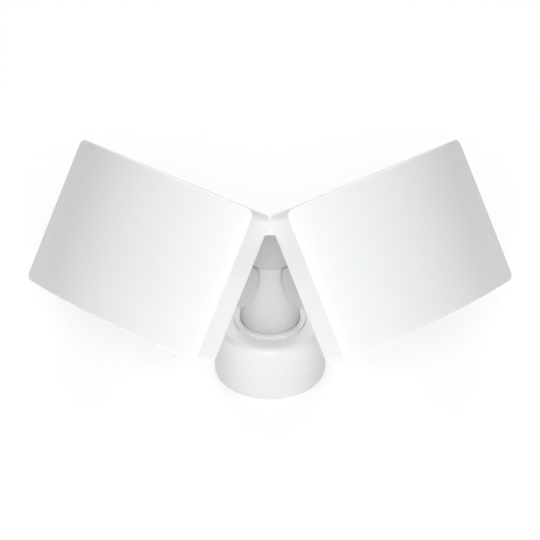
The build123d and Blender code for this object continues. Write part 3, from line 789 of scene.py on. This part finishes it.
@dataclass
class Studio:
    """The pale floor, the soft light and the camera at the photograph's angle.

    Attributes:
        elevation: the camera's height above level, in degrees.
        distance: from the camera to its target, in metres.
        aim_height: the target's height on the light's axis, in metres.
        target_pixel: where the target falls in the photograph.
        camera_pixels: the camera's focal length, in the photograph's pixels.
        softboxes: the soft lights.
        fill: the strength of the even light from all round.
        floor_colour: sRGB hex of the floor.
        floor_roughness: the floor's roughness.
        floor_glow: the strength of the light that comes up through the floor.
        floor_reach: how far the floor runs each way, in metres.
        fade: the radii over which the floor turns into the backdrop's white, in metres.
        sweep_radius: where the backdrop starts to bend up from the floor, in metres.
        sweep_bend: the radius of that bend, in metres.
        sweep_height: the backdrop's height, in metres.
        sweep_gap: how far the backdrop's flat part lies above the floor, in metres.
        sweep_steps: how many points the bend has.
        sweep_sides: how many sides the backdrop has, seen from above.
    """

    elevation: float = 34.83
    distance: float = 1.848
    aim_height: float = 0.12106
    target_pixel: tuple[float, float] = (270.1, 270.0)
    camera_pixels: float = 1838.0
    softboxes: tuple[Softbox, ...] = (
        Softbox("front_high", (0.0, -2.0, 1.6), 1.6, 33.5),
        Softbox("front_low", (0.0, -1.4, 0.35), 0.6, 3.9),
        Softbox("overhead", (0.0, 0.0, 2.4), 2.0, 19.0),
        Softbox("rear_overhead", (0.0, 1.6, 1.8), 1.6, 25.0),
    )
    fill: float = 0.015
    floor_colour: str = "fafafa"
    floor_roughness: float = 0.9
    floor_glow: float = 0.2
    floor_reach: float = 6.0
    fade: tuple[float, float] = (0.5, 1.1)
    sweep_radius: float = 4.0
    sweep_bend: float = 0.8
    sweep_height: float = 4.0
    sweep_gap: float = 1 * MM
    sweep_steps: int = 13
    sweep_sides: int = 96

    def aim(self) -> Vector:
        """Gives the point that the camera and the lights face."""
        return Vector((0.0, 0.0, self.aim_height))

    def camera(self) -> None:
        """Adds the camera on the -Y side, looking down at the light."""
        rise = math.radians(self.elevation)
        data = bpy.data.cameras.new("camera")
        data.sensor_width = SENSOR_MM
        data.lens = SENSOR_MM * self.camera_pixels / PHOTO_PIXELS
        middle = PHOTO_PIXELS / 2
        data.shift_x = (middle - self.target_pixel[0]) / PHOTO_PIXELS
        data.shift_y = (self.target_pixel[1] - middle) / PHOTO_PIXELS
        eye = bpy.data.objects.new("camera", data)
        bpy.context.collection.objects.link(eye)
        back = Vector((0.0, -math.cos(rise), math.sin(rise)))
        eye.location = self.aim() + back * self.distance
        eye.rotation_euler = (-back).to_track_quat("-Z", "Y").to_euler()
        bpy.context.scene.camera = eye

    def floor(self) -> None:
        """Adds a plain pale floor, a square sheet of four corners lit softly from below.

        Its material is frosted acrylic, cast and sanded. It gives a matt white without a pattern,
        so that the shadows on it stay faint.
        """
        corners = np.array([(-1, -1, 0), (1, -1, 0), (1, 1, 0), (-1, 1, 0)]) * self.floor_reach
        mesh = bpy.data.meshes.new("floor")
        mesh.from_pydata(corners.tolist(), [], [(0, 1, 2, 3)])
        floor = bpy.data.objects.new("floor", mesh)
        bpy.context.collection.objects.link(floor)
        material = bpy.data.materials.new("studio_acrylic")
        material.use_nodes = True
        shader = material.node_tree.nodes["Principled BSDF"]
        shader.inputs["Base Color"].default_value = linear(self.floor_colour)
        shader.inputs["Roughness"].default_value = self.floor_roughness
        shader.inputs["Emission Color"].default_value = linear("ffffff")
        shader.inputs["Emission Strength"].default_value = self.floor_glow
        mesh.materials.append(material)

    def paper(self) -> bpy.types.Material:
        """Builds the backdrop's material.

        It is white paper, lit so brightly that it gives the eye plain white. By distance from the
        middle of the canopy's foot, it is clear where the fade starts and full where it ends.

        Returns:
            The material.
        """
        material = bpy.data.materials.new("studio_white_paper")
        material.use_nodes = True
        tree = material.node_tree
        tree.nodes.clear()
        place = add_node(tree, "ShaderNodeTexCoord").outputs["Object"]
        distance = add_node(
            tree, "ShaderNodeVectorMath", {"operation": "LENGTH"}, {"Vector": place}
        )
        start, end = self.fade
        fade = add_node(
            tree,
            "ShaderNodeMapRange",
            {"interpolation_type": "SMOOTHSTEP", "From Min": start, "From Max": end},
            {"Value": distance.outputs["Value"]},
        )
        clear = add_node(tree, "ShaderNodeBsdfTransparent")
        glow = add_node(tree, "ShaderNodeEmission", {"Color": linear("ffffff"), "Strength": 1.0})
        paper = add_node(
            tree,
            "ShaderNodeMixShader",
            {},
            {0: fade.outputs["Result"], 1: clear.outputs["BSDF"], 2: glow.outputs["Emission"]},
        )
        add_node(tree, "ShaderNodeOutputMaterial", {}, {"Surface": paper.outputs["Shader"]})
        return material

    def backdrop(self) -> None:
        """Adds a white backdrop round the studio, for views from low down.

        A profile turns about the light's axis: flat from the start of the fade, just over the
        floor, then a quarter circle whose radius is the bend's, and then a straight wall. So the
        floor has no far edge. Only the camera sees the backdrop, and it casts no light.
        """
        bend = np.radians(np.linspace(0, 90, self.sweep_steps))
        wall = self.sweep_radius + self.sweep_bend
        curve = self.sweep_radius + self.sweep_bend * np.sin(bend)
        rise = self.sweep_bend * (1 - np.cos(bend))
        reach = np.concatenate([self.fade, curve, [wall]])
        height = np.concatenate([[0, 0], rise, [self.sweep_height]]) + self.sweep_gap
        turn = np.linspace(0, 2 * np.pi, self.sweep_sides, endpoint=False)[:, None]
        grid = np.stack(
            [reach * np.cos(turn), reach * np.sin(turn), height + 0 * turn], axis=-1
        )
        index = np.arange(grid[..., 0].size).reshape(grid.shape[:2])
        after = np.roll(index, -1, axis=0)
        walls = np.stack([index[:, :-1], index[:, 1:], after[:, 1:], after[:, :-1]], axis=-1)
        backdrop = finished_mesh("backdrop", grid.reshape(-1, 3), walls.reshape(-1, 4).tolist())
        backdrop.data.materials.append(self.paper())
        backdrop.visible_diffuse = False
        backdrop.visible_glossy = False
        backdrop.visible_transmission = False
        backdrop.visible_shadow = False

    def world(self) -> None:
        """Fills the studio with even white light."""
        world = bpy.data.worlds.new("studio")
        bpy.context.scene.world = world
        world.use_nodes = True
        background = world.node_tree.nodes["Background"]
        background.inputs["Color"].default_value = linear("ffffff")
        background.inputs["Strength"].default_value = self.fill

    def build(self) -> None:
        """Sets up the whole studio."""
        self.camera()
        self.floor()
        self.backdrop()
        for softbox in self.softboxes:
            softbox.hang(self.aim())
        self.world()
        bpy.context.scene.view_settings.view_transform = "Standard"


def main() -> None:
    """Builds each sub-assembly in order."""
    logging.basicConfig(level=logging.INFO, format="%(message)s")
    parts = [Canopy(), Neck(), Sensor(), Dials()]
    parts += [make(side) for side in Side for make in (Knuckle, Head)]
    for part in (*parts, Studio()):
        part.build()
        log.info("%s built", type(part).__name__)


if __name__ == "__main__":
    main()
